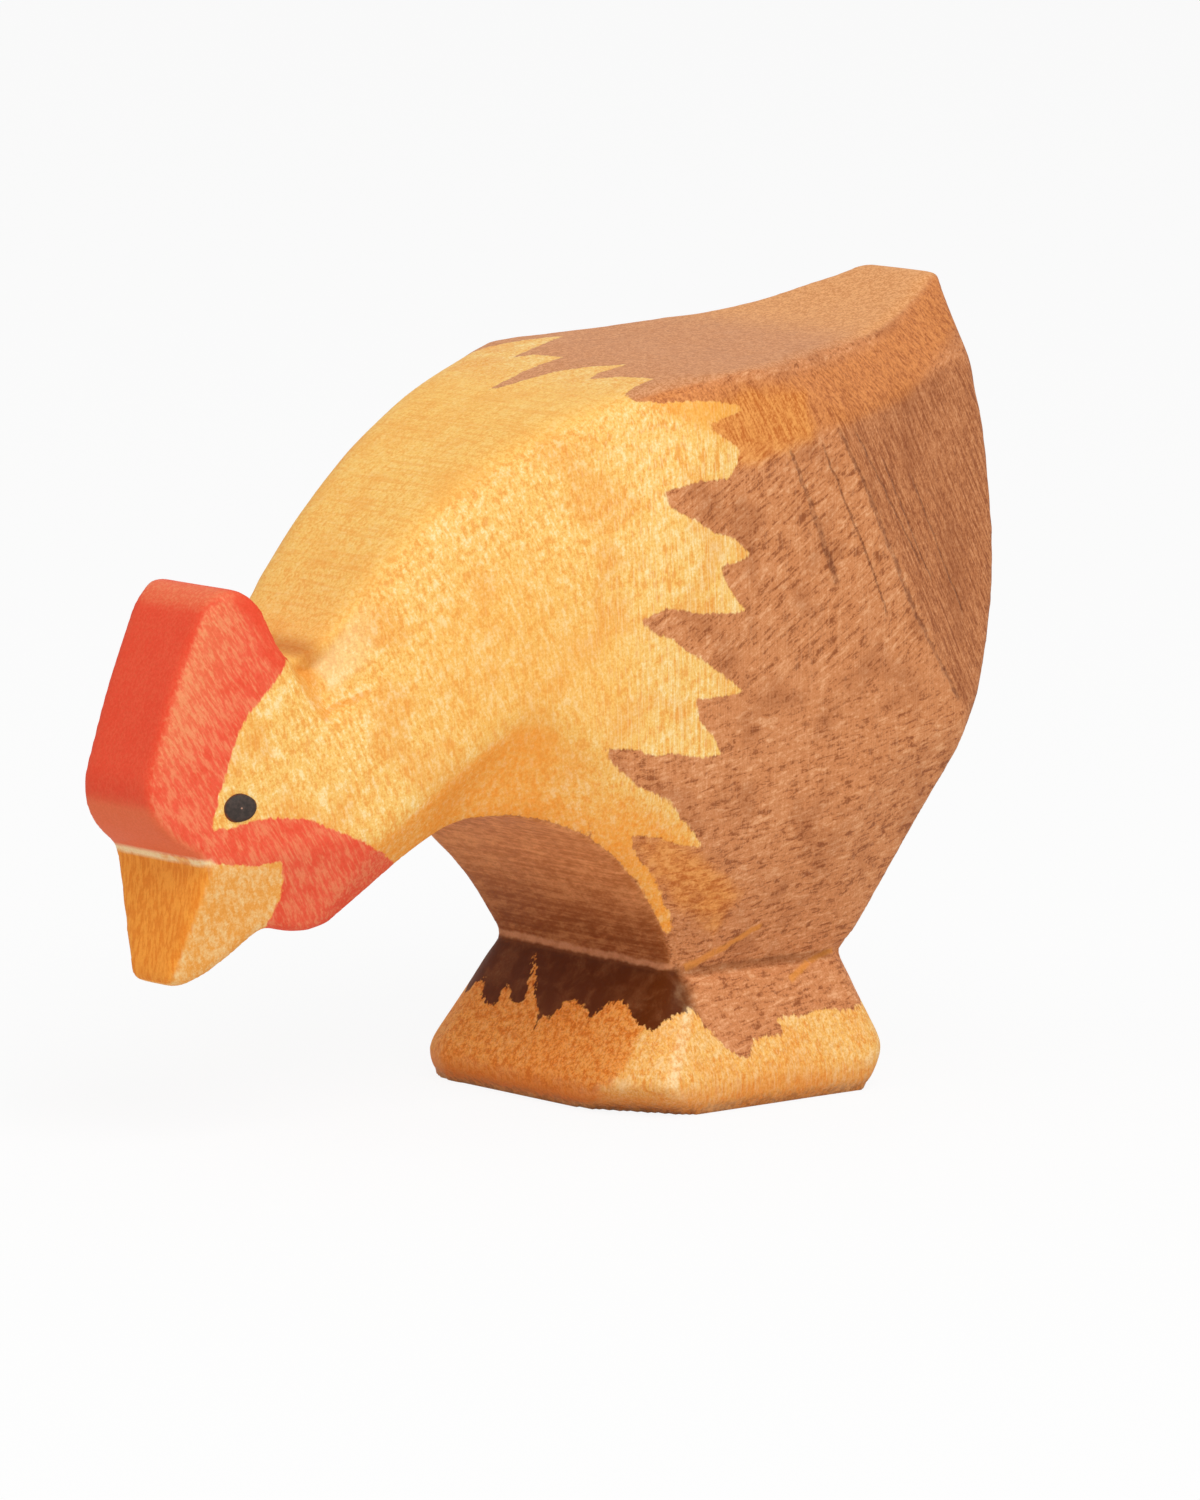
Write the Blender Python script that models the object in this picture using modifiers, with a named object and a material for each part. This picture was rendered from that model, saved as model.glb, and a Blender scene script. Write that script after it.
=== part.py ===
"""Pecking hen: a hand-carved wooden farm figure, about 64 mm long and 50 mm tall.

The hen is sawn from one block of light wood along a side outline, narrowed along a front outline
and a plan outline, shaped with straight knife cuts and sanded until its edges are soft. A drop of
black paint on each side of the head is an eye.

The hen looks along -Y and its left side is +X. The origin is the centre of the foot's flat
underside. Sizes are in millimetres, and MM turns them into the scene's metres.
"""

import bmesh
import bpy
from mathutils import Matrix, Vector

MM = 0.001

# Overall size of the hen
LENGTH = 64.3
HEIGHT = 50.4
THICKNESS = 25.3

# Foot: where its rim reaches and how high it lies there, and how far the edge below the rim leans in
# at the underside. A little stock below the underside is sawn off last.
FOOT_FRONT = -11.0
FOOT_FRONT_RIM = 1.6
FOOT_FRONT_LEAN = 1.0
FOOT_REAR = 10.3
FOOT_REAR_RIM = 2.7
FOOT_REAR_LEAN = 0.8
FOOT_HALF_WIDTH = 12.0
FOOT_SIDE_RIM = 1.8
FOOT_SIDE_LEAN = 0.45
FOOT_STOCK = 1.2

# Eyes: a drop of paint, longer than it is high, on the flat side of the head
EYE_LENGTH = 2.15
EYE_WIDTH = 1.8
EYE_RELIEF = 0.35
EYE_GAP = 0.15
EYE_PLACE = (-37.0, 21.7)
EYE_SIDES = 24

# Sanding: the coarseness of the paper, the strokes that round an edge, and the share of the fine
# surface that the finished facets keep
SANDING_GRAIN = 0.25
SANDING_PASSES = 10
FACETS_KEPT = 0.03

# Saw and knife: points along a curve, how far a half outline passes the middle plane, and the
# reach of a cut
CURVE_STEPS = 6
HALF_OVERLAP = 2.0
CUT_REACH = 120.0

# Points closer than this are one, and a corner nearer to a blade than the second is on it
WELD = 0.001
BLADE_WIDTH = 0.00001

# Side outline as (y, z, corner), from the tip of the beak over the comb and the back to the foot.
# A corner is sharp, and the other points lie on a smooth curve.
HEAD_OUTLINE = (
    (-40.2, 10.9, True),
    (-39.1, 18.2, True),
    (-39.3, 18.5, True),
    (-41.9, 20.6, False),
    (-42.7, 22.8, False),
    (-42.15, 24.9, False),
    (-39.4, 31.9, False),
    (-38.0, 34.2, False),
    (-36.5, 34.9, False),
    (-35.0, 34.1, False),
    (-33.4, 31.0, False),
    (-32.3, 30.2, True),
)
BACK_OUTLINE = (
    (-30.8, 30.9, False),
    (-27.0, 34.8, False),
    (-22.8, 38.8, False),
    (-16.9, 42.6, False),
    (-8.8, 45.55, False),
    (4.9, 47.0, False),
    (13.5, 48.05, False),
    (20.5, 50.4, True),
    (21.35, 50.2, True),
)
RUMP_OUTLINE = (
    (21.2, 46.0, False),
    (21.6, 37.6, False),
    (21.1, 31.3, False),
    (18.1, 24.1, False),
    (12.5, 15.3, False),
    (9.8, 10.9, False),
    (8.4, 8.8, True),
)
BELLY_OUTLINE = (
    (-5.7, 8.9, True),
    (-6.8, 11.0, False),
    (-10.2, 15.3, False),
    (-14.1, 18.3, False),
    (-19.1, 19.4, False),
    (-22.9, 18.4, False),
    (-28.0, 15.0, False),
    (-29.9, 13.6, True),
    (-32.6, 13.5, False),
    (-34.4, 14.0, True),
    (-38.6, 10.6, False),
    (-39.8, 10.5, False),
)

# Front outline as (half width, z, corner), above the foot
FRONT_OUTLINE = (
    (8.9, 8.9, True),
    (10.3, 12.0, False),
    (12.0, 17.0, False),
    (12.5, 22.5, False),
    (12.65, 29.0, False),
    (12.5, 36.0, False),
    (11.8, 47.0, False),
    (11.2, 53.0, True),
)

# Plan outline as (half width, y, corner), from the breast to the rump
PLAN_OUTLINE = (
    (8.6, -26.0, True),
    (10.6, -19.0, False),
    (12.0, -11.5, False),
    (12.8, -1.0, False),
    (12.1, 12.5, False),
    (10.4, 23.0, True),
)


def level(z):
    """Three marks of the level plane at a height."""
    return ((0.0, 0.0, z), (10.0, 0.0, z), (0.0, 10.0, z))


def across(y):
    """Three marks of the upright plane across the hen."""
    return ((0.0, y, 0.0), (10.0, y, 0.0), (0.0, y, 10.0))


# Knife cuts of the left side. Each is a name, a mark in what comes off, and its planes, each given
# by three marks (x, y, z) on the wood. The first plane is the facet, and the others stop the knife.
HEAD_SIDE = ((3.4, -42.0, 24.0), (5.5, -33.0, 30.0), (11.6, -13.0, 28.0))
WAIST_STOP = level(8.7)
UNDERSIDE = level(0.0)
BELOW_FOOT = (0.0, 0.0, -30.0)
KNIFE_CUTS = (
    ("cut_head_side", (30.0, -35.0, 25.0), (HEAD_SIDE,)),
    (
        "cut_shoulder",
        (30.0, -20.0, 50.0),
        (
            ((5.4, -29.5, 31.9), (9.2, -12.4, 44.4), (11.1, -12.4, 36.0)),
            ((4.6, -33.2, 31.0), (6.2, -32.3, 26.5), (9.0, -37.5, 30.0)),
        ),
    ),
    (
        "cut_tail_side",
        (30.0, 20.0, 40.0),
        (((7.6, 21.5, 38.8), (12.4, 7.8, 36.5), (12.0, 13.1, 27.3)),),
    ),
    (
        "cut_tail_top",
        (30.0, 10.0, 60.0),
        (((8.25, 9.8, 47.3), (3.45, 20.9, 50.2), (6.0, 21.1, 46.3)),),
    ),
    (
        "cut_beak_side",
        (30.0, -30.0, 5.0),
        (((4.8, -39.1, 18.2), (1.95, -40.2, 10.9), (5.0, -31.2, 13.4)), across(-17.0)),
    ),
    (
        "cut_cheek",
        (30.0, -30.0, 10.0),
        (
            ((4.8, -31.2, 13.4), (5.8, -21.5, 18.9), (8.5, -26.0, 20.9)),
            ((0.0, -21.4, 18.9), (10.0, -21.4, 18.9), (0.0, -18.8, 25.0)),
        ),
    ),
    (
        "cut_throat",
        (30.0, -20.0, 20.0),
        (
            ((8.5, -21.5, 25.0), (5.8, -21.5, 18.9), (10.2, -16.0, 25.0)),
            ((0.0, -21.6, 18.9), (10.0, -21.6, 18.9), (0.0, -19.0, 25.0)),
            ((7.4, -16.5, 19.0), (10.05, -16.5, 25.0), (10.4, -12.5, 19.0)),
            across(-12.0),
        ),
    ),
    (
        "cut_breast",
        (30.0, -12.0, 12.0),
        (((9.9, -12.0, 17.0), (9.7, -8.4, 13.9), (12.5, -9.7, 21.0)), across(-16.0), WAIST_STOP),
    ),
    (
        "cut_rump_side",
        (30.0, 15.0, 12.0),
        (((10.9, 15.6, 20.0), (10.15, 12.6, 15.3), (11.9, 7.0, 17.5)), WAIST_STOP),
    ),
    (
        "cut_rump_corner",
        (30.0, 30.0, 20.0),
        (((10.7, 18.0, 24.0), (10.0, 20.0, 26.0), (10.5, 14.1, 15.0)), WAIST_STOP),
    ),
    (
        "cut_foot_front_corner",
        (30.0, -30.0, 2.0),
        (((8.5, -10.85, 1.8), (12.1, -8.75, 1.8), (8.75, -5.6, 8.5)), WAIST_STOP),
    ),
    (
        "cut_foot_front_edge",
        (30.0, -30.0, 0.0),
        (((8.5, -10.85, 1.6), (12.1, -8.75, 1.6), (10.4, -9.3, 0.0)), WAIST_STOP),
    ),
    (
        "cut_foot_rear_corner",
        (30.0, 30.0, 2.0),
        (((11.9, 9.0, 2.6), (10.8, 10.3, 2.6), (9.2, 8.9, 6.5)), WAIST_STOP),
    ),
    (
        "cut_foot_rear_edge",
        (30.0, 30.0, 0.0),
        (((11.9, 9.0, 2.6), (10.8, 10.3, 2.6), (10.6, 8.9, 0.0)), WAIST_STOP),
    ),
)

# One more stroke, which only the foot's left front corner got
LEFT_CUT = (
    "cut_foot_left_edge",
    (30.0, -30.0, 0.0),
    (((8.4, -10.8, 1.9), (12.0, -8.65, 1.9), (8.8, -7.6, 0.0)), WAIST_STOP),
)


def drawn_span(values):
    return max(values) - min(values)


def stock_lean(rim, lean):
    """How far an edge that leans in below its rim has come in at the bottom of the stock."""
    return lean * (rim + FOOT_STOCK) / rim


def side_outline():
    """The whole side outline, with the foot between the rump and the belly."""
    foot = (
        (FOOT_REAR, FOOT_REAR_RIM, True),
        (FOOT_REAR - stock_lean(FOOT_REAR_RIM, FOOT_REAR_LEAN), -FOOT_STOCK, True),
        (FOOT_FRONT + stock_lean(FOOT_FRONT_RIM, FOOT_FRONT_LEAN), -FOOT_STOCK, True),
        (FOOT_FRONT, FOOT_FRONT_RIM, True),
    )
    return HEAD_OUTLINE + BACK_OUTLINE + RUMP_OUTLINE + foot + BELLY_OUTLINE


STRETCH = Vector(
    (
        THICKNESS / (2.0 * max(point[0] for point in FRONT_OUTLINE)),
        LENGTH / drawn_span([point[0] for point in side_outline()]),
        HEIGHT / max(point[1] for point in BACK_OUTLINE),
    )
)


def placed(x, y, z):
    """A mark on the drawn hen, moved to its place on a hen of the size asked for, in metres."""
    return Vector((x, y, z)) * STRETCH * MM


def new_collection(name):
    collection = bpy.data.collections.new(name)
    bpy.context.scene.collection.children.link(collection)
    return collection


def new_object(name, bm, collection):
    mesh = bpy.data.meshes.new(name)
    bm.to_mesh(mesh)
    bm.free()
    made = bpy.data.objects.new(name, mesh)
    collection.objects.link(made)
    return made


def as_cutter(made):
    made.hide_render = True
    made.display_type = "WIRE"
    return made


def sawn_from(name, outline, axes, depth, collection):
    """A plank cut along a closed outline of (a, b, corner), as thick as twice the depth.

    The axes are three columns: where a, b and the plank's thickness run.
    """
    curve = bpy.data.curves.new(name, "CURVE")
    curve.dimensions = "2D"
    curve.fill_mode = "BOTH"
    curve.resolution_u = CURVE_STEPS
    curve.extrude = depth * MM
    spline = curve.splines.new("BEZIER")
    spline.bezier_points.add(len(outline) - 1)
    spline.use_cyclic_u = True
    turn = Matrix(axes).transposed()
    for knot, (a, b, corner) in zip(spline.bezier_points, outline):
        knot.co = turn.transposed() @ placed(*(turn @ Vector((a, b, 0.0))))
        knot.handle_left_type = "VECTOR" if corner else "AUTO"
        knot.handle_right_type = knot.handle_left_type
    drawn = bpy.data.objects.new(name + "_outline", curve)
    drawn.matrix_world = turn.to_4x4()
    collection.objects.link(drawn)
    graph = bpy.context.evaluated_depsgraph_get()
    mesh = bpy.data.meshes.new_from_object(drawn.evaluated_get(graph))
    mesh.transform(drawn.matrix_world)
    bpy.data.objects.remove(drawn)
    bm = bmesh.new()
    bm.from_mesh(mesh)
    bpy.data.meshes.remove(mesh)
    bmesh.ops.remove_doubles(bm, verts=bm.verts, dist=WELD * MM)
    bmesh.ops.recalc_face_normals(bm, faces=bm.faces)
    return new_object(name, bm, collection)


def knife_cut(name, removed, planes, collection):
    """The wood that one stroke takes off: a block around a mark, as far as the planes beside it."""
    centre = placed(*removed)
    bm = bmesh.new()
    bmesh.ops.create_cube(bm, size=CUT_REACH * MM, matrix=Matrix.Translation(centre))
    for marks in planes:
        point, normal = plane_through(marks)
        if normal.dot(centre - point) > 0.0:
            normal.negate()
        cut = bmesh.ops.bisect_plane(
            bm,
            geom=bm.verts[:] + bm.edges[:] + bm.faces[:],
            dist=BLADE_WIDTH * MM,
            plane_co=point,
            plane_no=normal,
            clear_outer=True,
        )
        rim = [part for part in cut["geom_cut"] if isinstance(part, bmesh.types.BMEdge)]
        bmesh.ops.edgeloop_fill(bm, edges=rim)
    bmesh.ops.recalc_face_normals(bm, faces=bm.faces)
    return as_cutter(new_object(name, bm, collection))


def plane_through(marks):
    a, b, c = (placed(*mark) for mark in marks)
    return a, (b - a).cross(c - a).normalized()


def add_boolean(body, cutter, operation):
    """One cut. Cuts that meet along an edge leave open seams with the exact solver, not with this one."""
    modifier = body.modifiers.new(cutter.name, "BOOLEAN")
    modifier.solver = "MANIFOLD"
    modifier.operation = operation
    modifier.object = cutter


def half_outline(points, low, high, back):
    """A closed outline for the left half: its edge, and a straight back past the middle plane."""
    return points + ((-back, high, True), (-back, low, True))


def add_saw_cuts(body, cutters):
    foot = (
        (FOOT_HALF_WIDTH - stock_lean(FOOT_SIDE_RIM, FOOT_SIDE_LEAN), -FOOT_STOCK, True),
        (FOOT_HALF_WIDTH, FOOT_SIDE_RIM, True),
    )
    front = half_outline(foot + FRONT_OUTLINE, -FOOT_STOCK, FRONT_OUTLINE[-1][1], HALF_OVERLAP)
    axes = ((1.0, 0.0, 0.0), (0.0, 0.0, 1.0), (0.0, -1.0, 0.0))
    add_boolean(body, as_cutter(sawn_from("saw_front", front, axes, CUT_REACH, cutters)), "INTERSECT")
    head = ((PLAN_OUTLINE[0][0], -LENGTH, True),)
    plan = half_outline(head + PLAN_OUTLINE, -LENGTH, PLAN_OUTLINE[-1][1], THICKNESS)
    axes = ((1.0, 0.0, 0.0), (0.0, 1.0, 0.0), (0.0, 0.0, 1.0))
    add_boolean(body, as_cutter(sawn_from("saw_plan", plan, axes, CUT_REACH, cutters)), "INTERSECT")


def add_right_side(body):
    mirror = body.modifiers.new("right_side", "MIRROR")
    mirror.use_axis = (True, False, False)
    mirror.use_bisect_axis = (True, False, False)
    mirror.merge_threshold = WELD * MM


def add_sanding(body):
    """Every edge and hollow rounded a little."""
    grain = body.modifiers.new("sanding_grain", "REMESH")
    grain.mode = "VOXEL"
    grain.voxel_size = SANDING_GRAIN * MM
    strokes = body.modifiers.new("sanding_strokes", "SMOOTH")
    strokes.factor = 0.5
    strokes.iterations = SANDING_PASSES


def add_facets(body):
    """The smooth surface in as few flat facets as hold its shape."""
    facets = body.modifiers.new("facets", "DECIMATE")
    facets.ratio = FACETS_KEPT


def make_body(parts, cutters, material):
    axes = ((0.0, 1.0, 0.0), (0.0, 0.0, 1.0), (1.0, 0.0, 0.0))
    body = sawn_from("hen_body", side_outline(), axes, THICKNESS, parts)
    add_saw_cuts(body, cutters)
    for stroke in KNIFE_CUTS:
        add_boolean(body, knife_cut(*stroke, cutters), "DIFFERENCE")
    add_right_side(body)
    add_boolean(body, knife_cut(*LEFT_CUT, cutters), "DIFFERENCE")
    add_sanding(body)
    add_boolean(body, knife_cut("cut_underside", BELOW_FOOT, (UNDERSIDE,), cutters), "DIFFERENCE")
    add_facets(body)
    body.data.materials.clear()
    body.data.materials.append(material)
    return body


def make_eye(name, side, parts, material):
    """Half of a flattened ball, its flat back along the side of the head."""
    bm = bmesh.new()
    size = Matrix.Diagonal((EYE_LENGTH / 2.0, EYE_WIDTH / 2.0, EYE_RELIEF, 1.0))
    bmesh.ops.create_uvsphere(bm, u_segments=EYE_SIDES, v_segments=EYE_SIDES // 2, radius=MM, matrix=size)
    cut = bmesh.ops.bisect_plane(
        bm,
        geom=bm.verts[:] + bm.edges[:] + bm.faces[:],
        plane_co=(0.0, 0.0, 0.0),
        plane_no=(0.0, 0.0, -1.0),
        clear_outer=True,
    )
    rim = [part for part in cut["geom_cut"] if isinstance(part, bmesh.types.BMEdge)]
    bmesh.ops.edgeloop_fill(bm, edges=rim)
    bmesh.ops.recalc_face_normals(bm, faces=bm.faces)
    point, normal = plane_through(HEAD_SIDE)
    if normal.x < 0.0:
        normal.negate()
    seat = placed(0.0, *EYE_PLACE)
    seat.x = point.x - (normal.y * (seat.y - point.y) + normal.z * (seat.z - point.z)) / normal.x
    seat += normal * EYE_GAP * MM
    along = Vector((0.0, 1.0, 0.0)).cross(normal).cross(normal).normalized()
    frame = Matrix((along, normal.cross(along), normal)).transposed().to_4x4()
    eye = new_object(name, bm, parts)
    eye.matrix_world = Matrix.Scale(side, 4, (1.0, 0.0, 0.0)) @ Matrix.Translation(seat) @ frame
    eye.data.materials.append(material)
    eye.data.shade_smooth()
    return eye


def new_material(name, colour, roughness):
    material = bpy.data.materials.new(name)
    material.use_nodes = True
    shader = material.node_tree.nodes["Principled BSDF"]
    shader.inputs["Base Color"].default_value = (*colour, 1.0)
    shader.inputs["Roughness"].default_value = roughness
    shader.inputs["Metallic"].default_value = 0.0
    material.diffuse_color = (*colour, 1.0)
    return material


def main():
    for old in list(bpy.data.objects):
        bpy.data.objects.remove(old)
    parts = new_collection("pecking_hen")
    cutters = new_collection("saw_and_knife")
    make_body(parts, cutters, new_material("stained_wood", (0.79, 0.42, 0.13), 0.6))
    eye_paint = new_material("black_paint", (0.02, 0.015, 0.013), 0.3)
    make_eye("eye_left", 1.0, parts, eye_paint)
    make_eye("eye_right", -1.0, parts, eye_paint)


if __name__ == "__main__":
    main()
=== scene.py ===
import math
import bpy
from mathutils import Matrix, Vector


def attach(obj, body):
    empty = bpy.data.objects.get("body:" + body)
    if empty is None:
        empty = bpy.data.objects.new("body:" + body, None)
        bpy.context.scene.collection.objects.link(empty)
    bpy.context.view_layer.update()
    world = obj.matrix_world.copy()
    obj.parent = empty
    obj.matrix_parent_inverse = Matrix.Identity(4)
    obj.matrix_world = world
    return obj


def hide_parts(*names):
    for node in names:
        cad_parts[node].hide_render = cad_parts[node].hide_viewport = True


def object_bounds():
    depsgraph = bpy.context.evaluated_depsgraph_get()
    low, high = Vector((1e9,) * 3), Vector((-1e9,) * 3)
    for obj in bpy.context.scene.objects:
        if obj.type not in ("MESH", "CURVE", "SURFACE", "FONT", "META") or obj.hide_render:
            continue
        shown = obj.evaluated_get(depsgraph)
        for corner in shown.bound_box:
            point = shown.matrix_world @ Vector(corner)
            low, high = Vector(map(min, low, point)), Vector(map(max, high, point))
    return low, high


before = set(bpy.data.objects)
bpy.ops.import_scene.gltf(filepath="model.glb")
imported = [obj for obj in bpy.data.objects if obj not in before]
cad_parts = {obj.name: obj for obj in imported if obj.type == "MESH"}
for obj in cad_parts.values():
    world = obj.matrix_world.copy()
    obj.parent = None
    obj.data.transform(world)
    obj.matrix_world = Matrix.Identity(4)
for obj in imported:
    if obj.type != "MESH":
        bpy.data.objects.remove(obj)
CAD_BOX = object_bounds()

from types import SimpleNamespace

import bmesh
import bpy
import numpy as np
from bpy.props import FloatProperty, FloatVectorProperty, IntProperty, PointerProperty
from mathutils import Matrix, Vector, noise
from mathutils.bvhtree import BVHTree

bl_info = {
    "name": "Carved wooden hen",
    "version": (1, 0, 0),
    "blender": (4, 5, 0),
    "location": "3D View > Sidebar > Hen",
    "description": "Smooths, stains and paints a carved hen and sets the studio",
    "category": "Object",
}

MM = 0.001


def tone(red, green, blue):
    """A colour given as it is seen, from 0 to 255, as the light it stands for."""
    def light(part):
        part /= 255.0
        return part / 12.92 if part <= 0.04045 else ((part + 0.055) / 1.055) ** 2.4
    return (light(red), light(green), light(blue))


# In mm. Length runs from the beak, below zero, to the tail, and height up from the floor.
# Outlines are (length, height) unless a comment says otherwise. A mark is its ends and half width.

# The back's height over its length. The way round to a point runs from the ridge to the edge of the
# back, where the surface drops by BACK_EDGE_DROP, and down the flank.
BACK_LINE = (
    (-30.8, 30.9), (-27, 34.8), (-22.8, 38.8), (-16.9, 42.6), (-8.8, 45.5), (4.9, 47), (13.5, 48),
    (20.5, 50.4),
)
BACK_HALF_WIDTH = 12.0
BACK_EDGE_DROP = (1.0, 5.0)

# The golden feathers' border: (length, way round). It runs up the left flank, over the back, down
# the right flank like the left one, and closes in front of the beak.
LEFT_FEATHERS = (
    (-9, 50), (-6.2, 46.2), (-6.6, 45.3), (-8, 43), (-9.3, 41.4), (-10.5, 39.7), (-10.7, 38.8),
    (-9.3, 39.5), (-7.5, 40.4), (-5.9, 40.9), (-6.8, 39.6), (-8.1, 38.4), (-9, 37.2),
    (-11.2, 35.3), (-12.6, 33.7), (-13.5, 32), (-12, 32.7), (-9.7, 34.1), (-6.7, 35),
    (-4.9, 35.2), (-5.8, 33.8), (-6.8, 32.6), (-7, 31.3), (-4.8, 31.6), (-3.2, 31.6),
    (-4.8, 30.3), (-6.8, 28.8), (-8.3, 27.7), (-10.1, 26.3), (-10.9, 25.2), (-9.7, 25.1),
    (-6.8, 26), (-4.4, 26.5), (-3.1, 26.5), (-4.4, 25), (-4.8, 24.2), (-5, 23.4), (-3.9, 23.4),
    (-2.6, 23.2), (-3.9, 22), (-5.9, 21), (-7.4, 20), (-8.7, 19), (-9, 18.1), (-6.6, 17.9),
    (-4.2, 18.2), (-3.4, 17.2), (-3.3, 16.5), (-4.4, 15.6),
)
BACK_FEATHERS = (
    (-5.8, 14.6), (-3.9, 14.3), (-2.6, 14.1), (-4.7, 13.3), (-6.6, 12.3), (-8.4, 11.3),
    (-9.5, 10.1), (-9.7, 8.7), (-8, 8.2), (-6.9, 8.2), (-7.3, 5.5), (-8.4, 3.8), (-7.1, 3.3),
    (-4.7, 3.5), (-6.3, 1.4), (-8.2, -0.2), (-10.2, -0.7), (-11.9, -1.7), (-8, -2.4),
    (-5.1, -2.6), (-5.3, -5.2), (-6.6, -5.9), (-3.2, -7.1), (0.3, -8.9), (-4, -9.9),
    (-7.6, -10.6), (-4.6, -11.8), (-2.2, -13.4),
)
FRONT_EDGE = ((-70.0, -60.0), (-70.0, 60.0))

# The red of the comb, the face and the wattle. Behind the comb it ends at the valley's bottom.
RED_AREA = (
    (-32.4, 30.9), (-32.7, 30.6), (-33.3, 30.3), (-34, 29.5), (-34.9, 28.5), (-35.8, 27.75),
    (-36.4, 26.8), (-37.2, 25.2), (-37.7, 23.85), (-38.1, 22.65), (-38.6, 21.3), (-38.8, 20.5),
    (-37.4, 20.6), (-35.9, 20.9), (-34.4, 20.95), (-32.8, 20.8), (-31.4, 20.1), (-29.8, 19.4),
    (-28.1, 18.5), (-26.3, 17.6), (-24, 16.4), (-25, 9), (-34.6, 9), (-34.5, 13.4), (-34.4, 14.3),
    (-34.1, 15.8), (-34.1, 17), (-34.35, 18.25), (-36, 18.05), (-37.7, 18.25), (-39.2, 18.55),
    (-45, 18.55), (-45, 38), (-32.4, 38),
)
COMB_END = -32.7

# The beak.
BEAK_AREA = (
    (-34.35, 18.25), (-34.1, 17), (-34.1, 15.8), (-34.4, 14.3), (-34.6, 9), (-46, 9), (-46, 18.5),
    (-39.2, 18.5), (-36, 18.1),
)

# The foot's golden rim: (way round from the middle of the front, height), on a box with this half
# width and half length. The far side repeats the near one. It counts below FOOT_TOP.
FOOT_HALF = (11.0, 10.0)
FOOT_FRONT_DRIPS = (
    (-11, 5.4), (-11, 6), (-10.4, 6.35), (-8.6, 5.6), (-7.1, 5.1), (-6.4, 5.15), (-6.9, 5.9),
    (-7, 6.35), (-5.5, 5.8), (-4.1, 5.3), (-3.7, 5.7), (-4.7, 6.8), (-6.9, 8.15), (-6.6, 8.2),
    (-4.2, 7.1), (-2.5, 5.8), (-1.3, 5.1), (-0.9, 4.2), (-0.7, 5), (0.1, 4.9), (0.5, 5.4),
    (0.8, 5.8), (1.8, 6.25), (3.3, 6), (4.2, 5.7), (4.45, 4.7), (4.7, 5.7), (5.4, 5.9),
    (5.9, 6.4), (7.8, 6.65), (8.8, 6.3), (9.4, 5.9), (10.6, 5.5),
)
FOOT_NEAR_DRIPS = (
    (11.9, 5.35), (13, 5.85), (13.8, 6.3), (15.1, 6.4), (15.7, 6), (16.6, 5.1), (17.4, 4.1),
    (18.2, 3.5), (19.5, 3.25), (19.9, 4.2), (20.4, 4.4), (22.4, 4.2), (22.5, 4.8), (22.3, 5.15),
    (24.4, 5.2), (27.1, 5.35), (29.6, 5.1), (31.5, 5.5), (32.6, 4.4), (33.2, 3.9), (34, 5),
    (35.2, 5.9), (36.6, 5.2), (37.6, 4.2), (38.4, 3.7), (39.2, 4.8), (40.6, 5.7), (42, 5.2),
)
FOOT_LOWER_EDGE = ((42.5, -9.0), (-42.5, -9.0))
FOOT_TOP = 8.8

# The gouge's scoop behind the comb, the line of painted shade on its lower edge, and the middle
# of the notch, which gets painted shade.
SCOOP = (
    (-33.1, 30.9), (-33, 30.2), (-32.6, 29.1), (-31.7, 27.4), (-31.2, 26.7), (-30.3, 26.3),
    (-29.1, 26.9), (-27.8, 27.9), (-25.5, 29.5), (-25, 36), (-31, 36),
)
SCOOP_DEPTH = 1.0
SCOOP_EDGE_SHADE = ((-31.4, 26.55), (-28.0, 28.2), 0.16)
NOTCH = (-31.15, 30.6)

# The comb's front ridge, where the red is thin.
COMB_RIDGE = (
    (-38.6, 33.4), (-39, 31.8), (-39.8, 29.8), (-40.8, 27.7), (-41.6, 25.9), (-42, 24.8),
)

# The ledge over the beak, and the middle of the neck's side.
LEDGE_HEIGHT = 18.45
MID_NECK = (-18.5, 28.0)

# The slanting band between the back and the flank.
TAIL_BEVEL = (
    (22, 51), (19.9, 50.1), (14.3, 47.8), (9.9, 46.7), (5.2, 46.2), (-0.7, 45.9), (-6.2, 45.9),
    (-10.4, 45.5), (-7.5, 43.6), (-3.3, 41.5), (1.1, 41.7), (4.3, 42.1), (8.2, 42.6),
    (12.4, 43.2), (14.9, 44.2), (17.9, 45.5), (20.3, 46.6), (22, 47.4),
)

# The front edge of the rear facet: a point on it, and the way across it to the tail.
REAR_FACET_EDGE = ((5.2, 41.4), (17.3, 10.4))

# Where the golden stain runs on under the brown one.
UNDER_BROWN_LOW = (
    (-11.2, 18.4), (-8.1, 17.8), (-5, 16.2), (-1.8, 13.4), (-3.3, 11.2), (-5, 12.2), (-6.8, 13.1),
    (-8.9, 15.1),
)
UNDER_BROWN_HIGH = (
    (-6, 43.8), (-2.5, 44.9), (2, 44.6), (2.4, 42), (-1, 41.1), (-3.8, 40.8),
)

# Knife marks in the flank.
KNIFE_MARKS = (
    ((4.9, 42.3), (7.6, 37.4), 0.12),
    ((7.3, 37.9), (11.5, 29.9), 0.19),
    ((11.2, 30.4), (15.6, 24.1), 0.15),
    ((0.9, 41.2), (2.5, 37.4), 0.13),
    ((2.2, 38.2), (4.5, 32.4), 0.2),
    ((3.4, 41.6), (8.9, 30), 0.07),
    ((6.3, 42.1), (12.6, 32.9), 0.08),
    ((9.2, 40), (13.6, 31.8), 0.07),
    ((12.2, 38.8), (17, 29.2), 0.07),
)
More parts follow.
